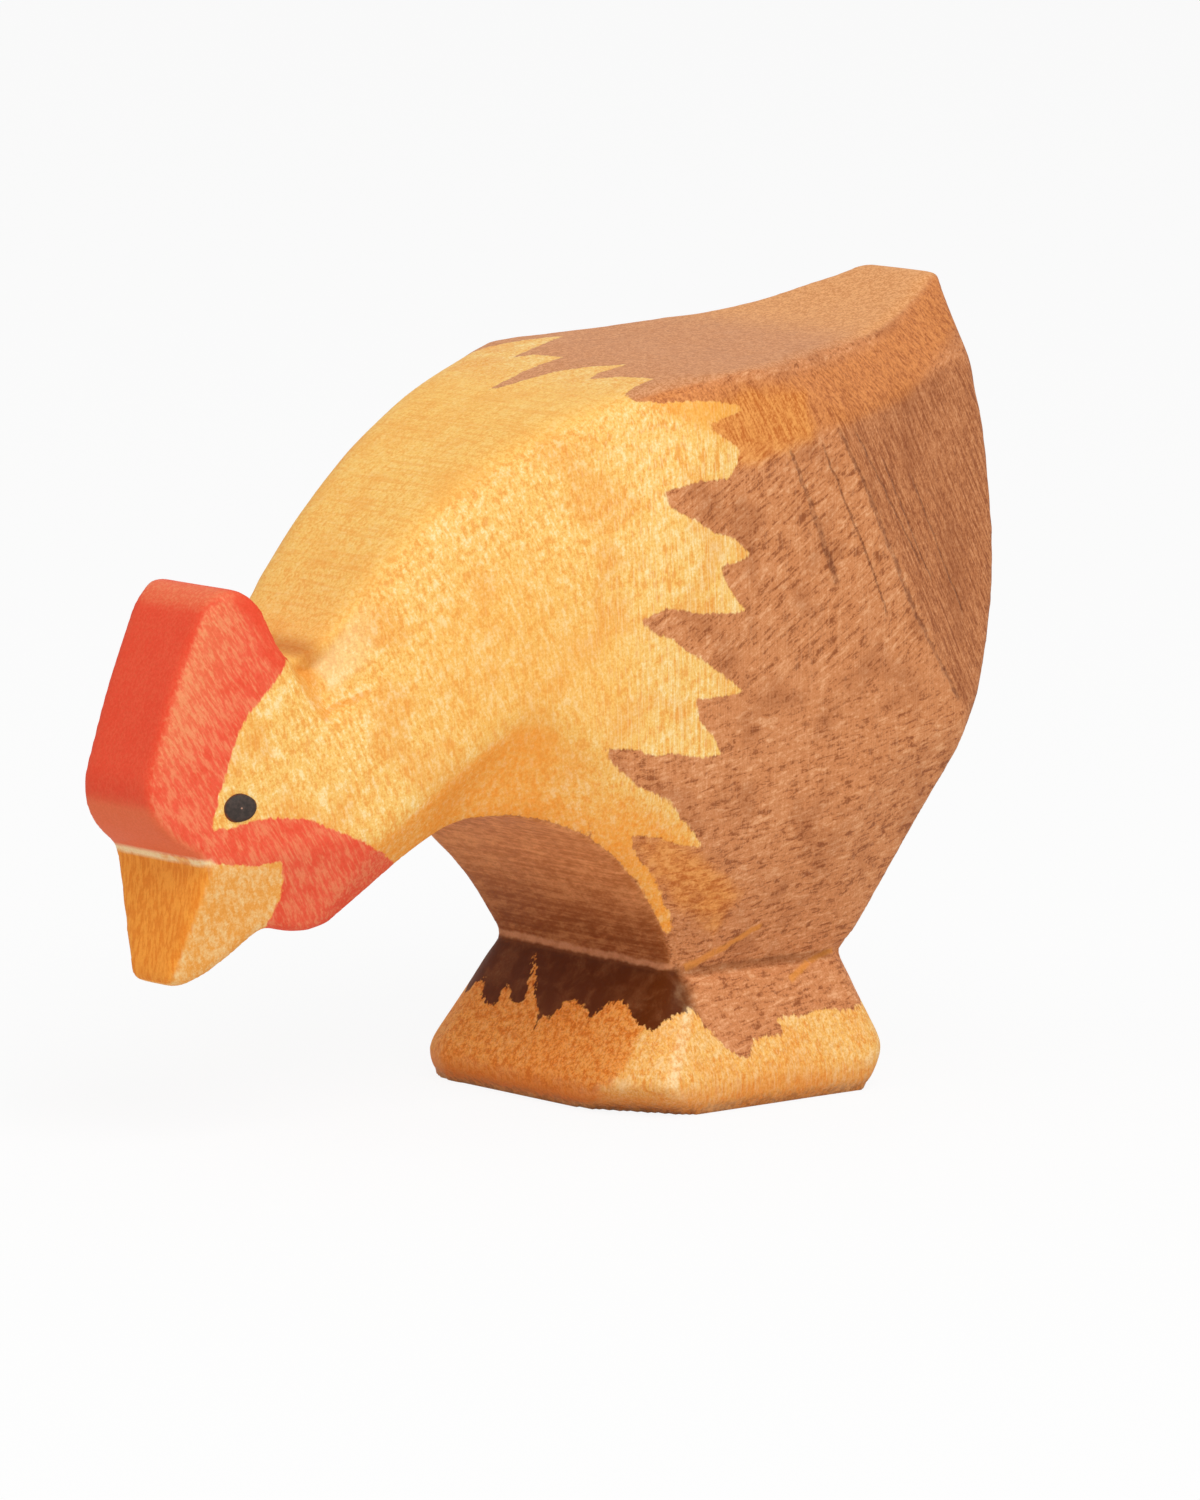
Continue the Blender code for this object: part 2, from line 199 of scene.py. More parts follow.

# The crease round the waist and the line of painted shade in it, the golden streaks beside it, the
# painted highlight along the edge across the front, which is (width, height), and the foot's
# corner, pale with wear and with a painted highlight.
CREASE_HEIGHT, CREASE_WIDTH, CREASE_DEPTH = 8.6, 0.4, 0.3
WAIST_CREASE_SHADE = ((-5.0, 8.6), (7.6, 8.5), 0.3)
WAIST_STREAKS = (
    ((-4.8, 8.8), (-2.7, 9.7), 0.26), ((-2.8, 9.6), (0.6, 11.2), 0.2),
    ((3.2, 7.3), (5.2, 8.2), 0.2), ((5.2, 8.2), (7.6, 8.7), 0.16),
)
# A painted highlight along the rounded edge over the waist, on the front.
WAIST_HIGHLIGHT = ((-9.5, 9.15), (9.2, 8.95), 0.2)
# The foot's corner edge: partly worn bare wood, partly a painted highlight.
FOOT_CORNER_WEAR_AND_HIGHLIGHT = ((-5.3, 6.6), (-8.3, 2.0), 0.34)

# How far from its middle a mark fades: in shares of its length, and in half widths across it.
MARK_ENDS = (0.44, 0.52)
MARK_EDGES = (0.4, 1.6)

# Areas that a material reads as masks. They say at which value of a measure the mask is 0 and at
# which it is 1; a band goes on with where it is last 1 and where it is 0 again. The measures side,
# front and top say how far the surface faces there, up to 1. Those with in_ are mm into an outline,
# those with from_ mm away from a place or a line.
AREAS = dict(
    # head
    comb_rear=dict(sharpness=(0.02, 0.12), length=(-37.2, -36), height=(29, 30)),
    facing_front=dict(front=(0.5, 0.75)),
    ledge=dict(from_ledge=(0.36, 0.12), length=(-38.6, -39)),
    # Painted shade in the notch between the comb and the neck.
    notch=dict(from_notch=(1.5, 0.1), length=(-32.4, -31.8)),
    overhang=dict(top=(-0.05, -0.4), height=(18.3, 18.8), length=(-37, -39)),
    # The scoop's floor, painted paler as painted light.
    scoop_floor=dict(in_scoop=(1.6, 2.1), length=(-26.5, -29.5), side=(0.4, 0.7)),
    # neck, back and tail
    back=dict(top=(0.7, 0.88), height=(36, 40)),
    mid_neck=dict(from_mid_neck=(10, 3)),
    neck_top=dict(top=(0.35, 0.6), side=(0.75, 0.4), length=(-6, -12), height=(28, 30)),
    rear_half=dict(length=(-16, -9)),
    tail_bevel=dict(in_bevel=(-0.3, 0.7), top=(0.86, 0.74), length=(20.9, 20.6)),
    tail_top=dict(top=(0.7, 0.88), length=(6, 13)),
    # flanks and underside
    flank=dict(side=(0.55, 0.8)),
    low_flank=dict(height=(30, 22)),
    rear_facet=dict(past_facet_edge=(-0.2, 0.6), top=(0.5, 0.3), height=(10, 14)),
    # Faces turned down above the foot, where the gold gets painted shade.
    under_side=dict(top=(-0.24, -0.42), height=(8.5, 9.5)),
    # foot
    edge_wear=dict(sharpness=(0.08, 0.26), height=(9, 8)),
    foot=dict(height=(9.4, 8.6)),
    foot_edge=dict(height=(1.1, 0.3)),
    foot_front=dict(front=(0.45, 0.65), turned_away=(0.4, 0.2), height=(9.4, 8.6)),
    foot_rim=dict(height=(2.6, 0.9)),
)

# Areas that are joined, cut or sanded, in that form.
PARTS = dict(
    arch=dict(length=(-21.5, -20.5, -0.2, 0.2), height=(8.5, 8.8, 20, 20.5)),
    arch_inside=dict(side=(0.65, 0.5)),
    # Low on the arch, where it gets painted shade.
    arch_low=dict(height=(16, 10)),
    comb_ridge=dict(from_ridge=(3.4, 0.3), height=(22.5, 26.5), side=(0.6, 0.85)),
    comb_top=dict(top=(0.5, 0.75), height=(31.5, 32.6), length=(-35, -36.5)),
    crease=dict(side=(0.5, 0.8)),
    gold_high=dict(in_gold_high=(-1.4, 0.8), side=(0.5, 0.8)),
    gold_low=dict(in_gold_low=(-1.2, 1.2), side=(0.5, 0.8)),
    scoop_cut=dict(in_scoop=(-0.05, 1.3), length=(-27, -31), side=(0.3, 0.75)),
    # The scoop's wall, which gets painted shade.
    scoop_wall=dict(in_scoop=(-0.15, 0.1, 1.4, 1.9), length=(-30.1, -31.2), side=(0.4, 0.7)),
    # The waist under the breast, dark with a second brown coat and with painted shade.
    waist_breast=dict(height=(9.1, 8.6), length=(-4.3, -5.6)),
    waist_front=dict(height=(9.1, 8.6), front=(0.1, 0.5)),
    sanded_foot=dict(height=(7.5, 5.5)),
    sanded_neck=dict(length=(-33, -29.5, -9, -3), height=(27, 30)),
    sanded_tail=dict(length=(17, 19.5), height=(41.5, 43.5, 49, 50.4)),
    sanded_throat=dict(length=(-29, -25, -6, -3), height=(10, 14, 28, 31), top=(-0.75, -0.45)),
)

# Sanding beyond the first one: how far a stroke goes, and how many there are.
NECK_SANDING = (0.6, 60)
FOOT_SANDING = (0.5, 16)
TAIL_SANDING = (0.5, 24)
# Strokes to the surface that an edge is measured against.
EDGE_STROKES = 14

# Points closer than WELD are one. The underside lies below this height and faces down this far.
# The knife's hollows have this size in width, length and height.
WELD = 0.002
UNDERSIDE_HEIGHT, UNDERSIDE_TURN = 0.12, -0.6
RIPPLE_SIZE = (5.0, 3.4, 4.2)

# The drop of paint: how far off the wood is looked for, how far the drop and its rim sink in, and
# the waves of its outline (count, start, height).
EYE_SEARCH, EYE_SUNK, EYE_WALL = 2.0, 0.03, 0.12
EYE_WAVES = ((2.0, 0.7, 0.5), (3.0, 2.1, 0.6), (5.0, 0.0, 0.25))
BRUSH_DEPTH = 0.02

# Tones of single places. A pair goes from the grain's dark to its light.
NECK_GOLD = tone(243, 172, 76)
# Lighter gold on the top of the neck: painted light, where the top faces the lamps.
NECK_TOP_LIT_GOLD = tone(254, 200, 104)
# Deeper orange where the surface under the neck faces down: painted shade.
UNDER_NECK_SHADE_GOLD = tone(250, 152, 46)
# Darker gold on the scoop's wall and in the crease at its foot: painted shade.
SCOOP_WALL_SHADE_GOLD = tone(234, 154, 62)
BEVEL_GOLD = tone(244, 162, 58)
# The foot's deeper gold: partly the foot's own paint, and on its front under the breast partly
# painted shade.
FOOT_GOLDS = (tone(210, 110, 28), tone(240, 144, 52))
RIM_GOLD = tone(220, 120, 42)
FOOT_EDGE_BROWN = tone(150, 74, 28)
STREAK_GOLD = tone(226, 148, 66)
# Darker brown on the rear facet: partly its own smoother, darker stain, partly painted shade where
# it turns from the lamps.
REAR_BROWN_AND_SHADE = tone(146, 80, 44)
# Lighter brown on the back and on the top of the tail: partly the stain's paler top, partly painted
# light where the top faces the lamps.
BACK_PALE_AND_LIT_BROWN = tone(217, 155, 108)
TAIL_TOP_PALE_AND_LIT_BROWN = tone(235, 169, 107)
BEVEL_BROWNS = (tone(190, 108, 52), tone(222, 142, 74))
ARCH_BROWNS = (tone(194, 115, 58), tone(240, 164, 104))
# Dark brown low on the arch under the breast: painted shade.
ARCH_LOW_SHADE_BROWN = tone(130, 62, 18)
GOLDEN_BROWNS = (tone(206, 116, 46), tone(240, 164, 84))
# The painted highlight's tone along the edge over the waist.
WAIST_HIGHLIGHT_BROWN = tone(204, 140, 98)
CUT_BROWN = tone(112, 62, 40)
THIN_RED = tone(238, 140, 92)
OVERHANG_RED = tone(236, 126, 80)
BEAK_FRONT = (tone(236, 138, 44), tone(250, 162, 62))
EYE_STREAKS = tone(76, 64, 58)
# A pale speck in the middle of each eye: a painted glint.
EYE_GLINT = tone(214, 160, 134)

# Shades that the colour under them is multiplied by: painted shade in the notch, and the pores
# and specks of the wood.
NOTCH_SHADE = tone(196, 142, 90)
PORE_SHADES = ((0.85, 0.76, 0.67), (1.04, 1.09, 1.16))
SPECK_SHADES = ((0.94, 0.89, 0.82), (1.02, 1.03, 1.06))

# The floor's depth, its share of plain white in the picture, and where the line of sight passes
# the origin (to the picture's right, up).
FLOOR_DROP = 0.02
FLOOR_WHITE = 0.9
SIGHT_LINE = (-3.291, 20.886)
WHITE = (1.0, 1.0, 1.0)


def labelled(kind, name, description, default, **more):
    return kind(name=name, description=description, default=default, **more)


def tint(name, description, colour):
    more = {"subtype": "COLOR", "size": 3, "min": 0.0, "max": 1.0}
    return labelled(FloatVectorProperty, name, description, colour, **more)


def span(name, description, metres, low=0.0):
    more = {"min": low, "precision": 5, "subtype": "DISTANCE", "unit": "LENGTH"}
    return labelled(FloatProperty, name, description, metres, **more)


def angle(name, description, degrees):
    more = {"subtype": "ANGLE", "unit": "ROTATION"}
    return labelled(FloatProperty, name, description, math.radians(degrees), **more)


class HenStains(bpy.types.PropertyGroup):
    """The stains and paints."""

    golden: tint("Golden feathers", "Stain of the head, neck and breast", tone(246, 197, 107))
    golden_pale: tint("Pale flecks", "Where the golden stain is thin", tone(252, 226, 168))
    golden_deep: tint("Deep gold", "Where the golden stain pools", tone(236, 152, 62))
    brown: tint("Brown feathers", "Stain of the flank, back and tail", tone(208, 136, 86))
    brown_pale: tint("Worn brown", "Where the brown stain is thin", tone(238, 178, 130))
    brown_deep: tint("Deep brown", "Where the brown stain pools", tone(142, 76, 40))
    # Partly a second coat of dark brown, partly painted shade under the breast.
    brown_dark_and_shade: tint("Dark brown", "Second coat under breast and round foot", tone(92, 40, 2))
    red: tint("Comb red", "Stain of the comb and wattle", tone(236, 92, 64))
    red_pale: tint("Worn red", "Where the wood shows through the red", tone(242, 158, 110))
    red_deep: tint("Deep red", "Where the red stain pools", tone(232, 76, 48))
    beak: tint("Beak", "Stain of the beak", tone(242, 170, 80))
    bare: tint("Bare wood", "Edges without stain", tone(253, 226, 176))


class HenCarving(bpy.types.PropertyGroup):
    """How finely the body is finished."""

    grain: span("Surface grain", "Distance between points of the finished surface", 0.315 * MM)
    strokes: labelled(IntProperty, "Sanding strokes", "Strokes over the surface", 8, min=0, max=40)
    ripple: span("Knife ripple", "Depth of the hollows that the knife leaves", 0.05 * MM)
    bump: span("Wood texture", "Depth of the fine grain", 0.024 * MM)


class HenEyes(bpy.types.PropertyGroup):
    """The two drops of black paint."""

    black: tint("Eye black", "Paint of the eyes", tone(58, 50, 46))
    rim: tint("Eye rim", "Thin edge of the paint", tone(120, 62, 40))
    height: span("Thickness", "How far the drop stands out of the wood", 0.32 * MM)
    wobble: labelled(FloatProperty, "Wobble", "Unevenness of the outline", 0.05, min=0.0, max=0.3)
    rings: labelled(IntProperty, "Rings", "Rings of points in each drop", 10, min=3, max=40)
    spokes: labelled(IntProperty, "Spokes", "Points in each ring", 40, min=8, max=96)


class HenStudio(bpy.types.PropertyGroup):
    """Floor, lamps and camera."""

    floor: tint("Floor", "Colour of the floor", (0.86, 0.86, 0.85))
    floor_width: span("Floor width", "Side of the square floor", 8.0, 0.5)
    sky: labelled(FloatProperty, "Room light", "Light from all round", 0.5, min=0.0)
    key: labelled(FloatProperty, "Key lamp", "Large lamp on the right", 3.72, min=0.0, unit="POWER")
    fill: labelled(FloatProperty, "Fill lamp", "Lamp in front", 1.02, min=0.0, unit="POWER")
    azimuth: angle("Camera turn", "Way round from the front", 50.0)
    elevation: angle("Camera tilt", "How far the camera looks down", 8.5)
    distance: span("Camera distance", "From the hen to the camera", 0.7, 0.1)
    lens: labelled(FloatProperty, "Lens", "Focal length in mm", 265.44, min=10.0)


# Shared helpers


def eased(low, high, value):
    """0 below low, 1 above high, and a smooth rise between them."""
    share = np.clip((value - low) / (high - low), 0.0, 1.0)
    return share * share * (3.0 - 2.0 * share)


def hump(middle, width, value):
    """1 at the middle, falling off smoothly to both sides."""
    return np.exp(-((value - middle) / width) ** 2)


def in_scene(name, data):
    """A new object in the scene."""
    made = bpy.data.objects.new(name, data)
    bpy.context.scene.collection.objects.link(made)
    return made


def modelled(name, bm):
    """A new mesh object out of what was modelled, which is then freed."""
    mesh = bpy.data.meshes.new(name)
    bm.to_mesh(mesh)
    bm.free()
    return in_scene(name, mesh)


def way_to(turn, tilt):
    """The way to what stands that far round from the hen's front, and that high."""
    return Vector((
        math.sin(turn) * math.cos(tilt), -math.cos(turn) * math.cos(tilt), math.sin(tilt)
    ))


def read_points(mesh, what):
    """The place (co) or the normal of every point of a mesh."""
    found = np.empty(len(mesh.vertices) * 3, np.float32)
    mesh.vertices.foreach_get(what, found)
    return found.reshape(-1, 3).astype(float)


def points_of(mesh):
    """Every point of a mesh, in mm."""
    return read_points(mesh, "co") / MM


def keep_points(mesh, points):
    """Moves the mesh's points to these, in mm."""
    mesh.vertices.foreach_set("co", (points * MM).astype(np.float32).ravel())
    mesh.update()


def write_mask(mesh, name, values):
    """A number for each point, which a material reads by its name."""
    mask = mesh.attributes.new(name, "FLOAT", "POINT")
    mask.data.foreach_set("value", np.asarray(values, np.float32))


def away_from(across, up, line):
    """How far in mm each point lies from a line."""
    nearest = np.full(len(across), np.inf)
    for (ax, ay), (bx, by) in zip(line, line[1:]):
        ex, ey = bx - ax, by - ay
        share = ((across - ax) * ex + (up - ay) * ey) / max(ex * ex + ey * ey, 1e-12)
        share = np.clip(share, 0.0, 1.0)
        nearest = np.minimum(nearest, np.hypot(across - ax - share * ex, up - ay - share * ey))
    return nearest


def inside_by(across, up, outline):
    """How far in mm each point lies inside a closed outline. It is below zero outside."""
    inside = np.zeros(len(across), bool)
    for (ax, ay), (bx, by) in zip(outline, outline[1:] + outline[:1]):
        passes = (ay > up) != (by > up)
        inside ^= passes & (across < ax + (up - ay) * (bx - ax) / ((by - ay) or 1e-12))
    return np.where(inside, 1.0, -1.0) * away_from(across, up, outline + outline[:1])


def way_round_the_back(points):
    """How far each point lies from the ridge, over the edge of the back and down the flank."""
    drop = np.maximum(0.0, np.interp(points[:, 1], *zip(*BACK_LINE)) - points[:, 2])
    half = np.minimum(np.abs(points[:, 0]), BACK_HALF_WIDTH)
    half += (BACK_HALF_WIDTH - half) * eased(*BACK_EDGE_DROP, drop)
    return np.sign(points[:, 0]) * (half + drop)


def way_round_the_foot(points):
    """How far each point lies from the middle of the foot's front, round its corners."""
    half_width, half_length = FOOT_HALF
    stretch = np.maximum(np.abs(points[:, 0]) / half_width, np.abs(points[:, 1]) / half_length)
    stretch = np.maximum(stretch, 1e-3)
    across, along = points[:, 0] / stretch, points[:, 1] / stretch
    side = np.where(points[:, 0] < 0.0, -1.0, 1.0)
    on_side = side * (half_width + along + half_length)
    at_rear = side * (2.0 * half_width + 2.0 * half_length - np.abs(across))
    behind = np.where(along >= half_length - 1e-6, at_rear, on_side)
    return np.where(along <= -half_length + 1e-6, across, behind)


def feather_outline():
    right_flank = tuple((length, -way) for length, way in reversed(LEFT_FEATHERS))
    return LEFT_FEATHERS + BACK_FEATHERS + right_flank + FRONT_EDGE


def foot_outline():
    far = tuple((-way, height) for way, height in reversed(FOOT_NEAR_DRIPS))
    return far + FOOT_FRONT_DRIPS + FOOT_NEAR_DRIPS + FOOT_LOWER_EDGE


def measures_of(points, normals, **more):
    """What areas are told apart by: where each point lies, and how far it faces which way."""
    return {
        "length": points[:, 1], "height": points[:, 2],
        "side": np.abs(normals[:, 0]), "front": -normals[:, 1], "top": normals[:, 2], **more,
    }


def area(measures, ranges):
    """How far each point lies in an area of AREAS or PARTS, from 0 to 1."""
    share = 1.0
    for name, edges in ranges.items():
        share = share * eased(edges[0], edges[1], measures[name])
        if len(edges) == 4:
            share = share * eased(edges[3], edges[2], measures[name])
    return share


class Recipe:
    """Builds the nodes of a material or a world."""

    def __init__(self, owner):
        owner.use_nodes = True
        self.tree = owner.node_tree
        self.tree.nodes.clear()

    def node(self, kind, settings=None, **sockets):
        made = self.tree.nodes.new(kind)
        for name, value in (settings or {}).items():
            setattr(made, name, value)
        for name, value in sockets.items():
            self.set(made.inputs[name.replace("_", " ")], value)
        return made

    def set(self, socket, value):
        """Links a socket to another one, or writes a constant on it."""
        if isinstance(value, bpy.types.NodeSocket):
            self.tree.links.new(value, socket)
        elif socket.type == "RGBA":
            socket.default_value = (*value, 1.0)
        else:
            socket.default_value = value

    def maths(self, operation, *values):
        made = self.node("ShaderNodeMath", {"operation": operation})
        for socket, value in zip(made.inputs, values):
            self.set(socket, value)
        return made.outputs["Value"]

    def chain(self, operation, first, *others):
        for value in others:
            first = self.maths(operation, first, value)
        return first

    def times(self, *values):
        return self.chain("MULTIPLY", *values)

    def most(self, *values):
        return self.chain("MAXIMUM", *values)

    def weighted(self, *shares):
        """Several values added, each by its weight."""
        return self.chain("ADD", *[self.times(value, weight) for value, weight in shares])

    def show_split(self, output, share, lighting, seen):
        """Lights with one shader, and is seen by that share with another."""
        path = self.node("ShaderNodeLightPath").outputs
        rays = self.most(*(path[f"Is {kind} Ray"] for kind in ("Camera", "Glossy", "Transmission")))
        both = self.node("ShaderNodeMixShader", Fac=self.times(rays, share))
        self.set(both.inputs[1], lighting)
        self.set(both.inputs[2], seen)
        self.node(output, Surface=both.outputs["Shader"])


class Stain(Recipe):
    """Builds the material of wood or paint, with patterns in mm on the hen."""

    def __init__(self, name):
        self.material = bpy.data.materials.new(name)
        super().__init__(self.material)
        self.place = self.node("ShaderNodeTexCoord").outputs["Object"]

    def set(self, socket, value):
        """Takes a mask of the mesh by its name, too."""
        if isinstance(value, str):
            value = self.node("ShaderNodeAttribute", {"attribute_name": value}).outputs["Fac"]
        super().set(socket, value)

    def rise(self, value, low, high, start=0.0, end=1.0):
        """Goes smoothly from start to end as value goes from low to high."""
        made = self.node(
            "ShaderNodeMapRange", {"interpolation_type": "SMOOTHSTEP"},
            Value=value, From_Min=low, From_Max=high, To_Min=start, To_Max=end,
        )
        return made.outputs["Result"]

    def swing(self, value, reach):
        """Noise that goes both ways from 0."""
        return self.times(self.maths("SUBTRACT", value, 0.5), reach)

    def mix(self, kind, sockets, share, first, second, way="MIX"):
        """A Mix node. Its sockets share their names, so they are found by identifier."""
        made = self.node("ShaderNodeMix", {"data_type": kind, "blend_type": way})
        inputs = {socket.identifier: socket for socket in made.inputs}
        self.set(inputs["Factor_Float"], share)
        self.set(inputs["A_" + sockets], first)
        self.set(inputs["B_" + sockets], second)
        outputs = {socket.identifier: socket for socket in made.outputs}
        return outputs["Result_" + sockets]

    def between(self, share, low, high):
        """low where share is 0, high where it is 1."""
        return self.mix("FLOAT", "Float", share, low, high)

    def blend(self, share, tones):
        """The first tone where share is 0, the second where it is 1."""
        return self.mix("RGBA", "Color", share, *tones)

    def coats(self, colour, *coats):
        """Stains over a colour. A coat is its colour and the shares whose product it covers by."""
        for above, *shares in coats:
            colour = self.blend(self.times(*shares), (colour, above))
        return colour

    def shaded(self, colour, shade, *shares):
        """A colour multiplied by a shade, by the product of the shares."""
        return self.mix("RGBA", "Color", self.times(*shares), colour, shade, "MULTIPLY")

    def turned(self, turn=(0.0, 0.0, 0.0), stretch=(1.0, 1.0, 1.0)):
        """The place on the hen in mm, turned in degrees, then stretched."""
        turned = self.node(
            "ShaderNodeMapping", Vector=self.place, Rotation=[math.radians(angle) for angle in turn]
        )
        stretched = self.node(
            "ShaderNodeMapping", Vector=turned.outputs["Vector"],
            Scale=[part / MM for part in stretch],
        )
        return stretched.outputs["Vector"]

    def cloud(self, place, size, detail=2.0, roughness=0.5, distortion=0.0):
        """Cloudy noise with patches of about that size in mm."""
        made = self.node(
            "ShaderNodeTexNoise", Vector=place, Scale=1.0 / size, Detail=detail,
            Roughness=roughness, Distortion=distortion,
        )
        return made.outputs["Fac"]

    def dashes(self, lean, width, length, detail=2.0, roughness=0.6, distortion=0.15):
        """Dashes on the flank, with sizes in mm. They stand upright and lean to the tail."""
        place = self.turned((lean, 0.0, 0.0), (1.0, 1.0, width / length))
        return self.cloud(place, width, detail, roughness, distortion)

    def mark(self, line, wobble, seen_from="side"):
        """1 on a thin straight mark, 0 away from it."""
        (ax, ay), (bx, by), half = line
        made = self.node("ShaderNodeSeparateXYZ", Vector=self.place)
        flat, up = made.outputs["Y" if seen_from == "side" else "X"], made.outputs["Z"]
        reach = math.hypot(bx - ax, by - ay)
        ex, ey = (bx - ax) / reach, (by - ay) / reach
        fades = []
        for u, v, size, edges in ((ex, ey, reach, MARK_ENDS), (-ey, ex, half, MARK_EDGES)):
            middle = (ax + bx) / 2.0 * u + (ay + by) / 2.0 * v
            turned = self.weighted((flat, u / MM), (up, v / MM))
            away = self.maths("ADD", self.maths("SUBTRACT", turned, middle), wobble)
            away = self.maths("ABSOLUTE", away)
            fades.append(self.rise(away, size * edges[0], size * edges[1], 1.0, 0.0))
        return self.times(*fades)

    def marks(self, lines, wobble):
        return self.most(*(self.mark(line, wobble) for line in lines))

    def finish(self, colour, roughness, bump_height, bump_depth, shine):
        bump = self.node("ShaderNodeBump", Strength=1.0, Distance=bump_depth, Height=bump_height)
        shader = self.node(
            "ShaderNodeBsdfPrincipled", Base_Color=colour, Roughness=roughness,
            Normal=bump.outputs["Normal"], Specular_IOR_Level=shine,
        )
        self.node("ShaderNodeOutputMaterial", Surface=shader.outputs["BSDF"])
        return self.material


# Body


def carved_copy(node, carving):
    """The frame's body with an even, finely sanded surface."""
    bm = bmesh.new()
    bm.from_mesh(node.data)
    bmesh.ops.remove_doubles(bm, verts=bm.verts, dist=WELD * MM)
    body = modelled("stained_hen", bm)
    rough = body.data
    surface = body.modifiers.new("surface_grain", "REMESH")
    surface.mode = "VOXEL"
    surface.voxel_size = carving.grain
    sanding = body.modifiers.new("sanding", "SMOOTH")
    sanding.factor = 0.5
    sanding.iterations = carving.strokes
    bpy.context.view_layer.update()
    graph = bpy.context.evaluated_depsgraph_get()
    body.data = bpy.data.meshes.new_from_object(body.evaluated_get(graph))
    body.modifiers.clear()
    bpy.data.meshes.remove(rough)
    body.data.name = "stained_hen"
    body.data.materials.clear()
    return body


def sanded(mesh, points, share, strokes):
    """The points drawn towards their neighbours, by each point's own share."""
    ends = np.empty(len(mesh.edges) * 2, np.int32)
    mesh.edges.foreach_get("vertices", ends)
    near, far = ends.reshape(-1, 2).T
    count = np.bincount(ends, minlength=len(points))[:, None]
    share = np.asarray(share, float).reshape(-1, 1)
    for _ in range(strokes):
        total = np.stack([
            np.bincount(near, points[far, axis], len(points))
            + np.bincount(far, points[near, axis], len(points))
            for axis in range(3)
        ], 1)
        points = points + (total / count - points) * share
    return points


def edge_sharpness(mesh, points, normals):
    """How far in mm each point stands out of its surroundings. It is below zero in a crease."""
    even = sanded(mesh, points, np.ones(len(points)), EDGE_STROKES)
    return ((points - even) * normals).sum(1)


def soften(mesh, points, normals):
    """Rounds the edges that were sanded most."""
    measures = measures_of(points, normals)
    neck, throat, foot, tail = (
        area(measures, PARTS["sanded_" + name]) for name in ("neck", "throat", "foot", "tail")
    )
    for share, (reach, strokes) in (
        (np.maximum(neck, throat * 0.7), NECK_SANDING), (foot, FOOT_SANDING), (tail, TAIL_SANDING)
    ):
        points = sanded(mesh, points, reach * share, strokes)
    return points


def carve_scoop(points, normals, in_scoop):
    """The gouge mark behind the comb, on both cheeks, and the crease round the waist."""
    measures = measures_of(points, normals, in_scoop=in_scoop)
    scoop = SCOOP_DEPTH * area(measures, PARTS["scoop_cut"])
    crease = CREASE_DEPTH * hump(CREASE_HEIGHT, CREASE_WIDTH, points[:, 2])
    return points - normals * (scoop + crease * area(measures, PARTS["crease"]))[:, None]


def carve_ripples(points, normals, depth):
    """Shallow hollows, always into the wood."""
    cut = np.array([0.5 + 0.5 * noise.noise(Vector(place)) for place in points / RIPPLE_SIZE])
    return points - normals * (cut * depth)[:, None]


def finished_measures(points, normals, **more):
    """The carved body's measures, with each point's distances to what the areas name."""
    measures = measures_of(points, normals, **more)
    length, height, side = measures["length"], measures["height"], measures["side"]
    (edge_length, edge_height), (along, up) = REAR_FACET_EDGE
    past_edge = (length - edge_length) * along + (height - edge_height) * up
    # The extra bevel under the foot's left front corner is left out of its front.
    turned_away = np.where(points[:, 0] < 0.0, 0.5, 1.0) * side
    measures.update(
        from_ledge=np.abs(height - LEDGE_HEIGHT),
        from_mid_neck=np.hypot(length - MID_NECK[0], height - MID_NECK[1]),
        from_notch=np.hypot(length - NOTCH[0], height - NOTCH[1]),
        from_ridge=away_from(length, height, COMB_RIDGE),
        in_bevel=inside_by(length, height, TAIL_BEVEL),
        in_gold_high=inside_by(length, height, UNDER_BROWN_HIGH),
        in_gold_low=inside_by(length, height, UNDER_BROWN_LOW),
        past_facet_edge=past_edge / math.hypot(along, up),
        turned_away=turned_away,
    )
    return measures


def stain_borders(points, measures):
    """How far in mm each point lies inside each stain, below zero outside."""
    length, height, side = measures["length"], measures["height"], measures["side"]
    golden = inside_by(length, way_round_the_back(points), feather_outline())
    # The arch under the neck is brown but for its sides.
    arch = area(measures, PARTS["arch"])
    beside_arch = (side - 0.6) * 1.5 + (1.0 - arch) * 9.0
    golden = np.where(arch > 0.0, np.minimum(golden, beside_arch), golden)
    rim = inside_by(way_round_the_foot(points), height, foot_outline())
    golden = np.where(height < FOOT_TOP, rim, golden)
    behind_comb = (side < 0.6) & (length > -35.0) & (height > 29.0)
    red = np.where(behind_comb, COMB_END - length, inside_by(length, height, RED_AREA))
    beak = inside_by(length, height, BEAK_AREA)
    return {"golden_stain": golden, "red_stain": red, "beak_stain": beak}


def joined_areas(measures):
    """The masks that are made of more than one area."""
    parts = {name: area(measures, ranges) for name, ranges in PARTS.items()}
    arch = parts["arch"] * parts["arch_inside"]
    # Painted shade, strongest in the crease at the foot of the scoop's wall.
    wall_crease_shade = 0.6 + 0.4 * hump(1.3, 0.3, measures["in_scoop"])
    return {
        "arch": arch,
        "arch_low": arch * parts["arch_low"],
        "comb_thin": np.maximum(parts["comb_ridge"], 0.8 * parts["comb_top"]),
        "scoop_wall": parts["scoop_wall"] * wall_crease_shade,
        "under_brown": np.maximum(0.8 * parts["gold_low"], parts["gold_high"]),
        "waist_dark": np.maximum(parts["waist_front"], parts["waist_breast"]),
    }


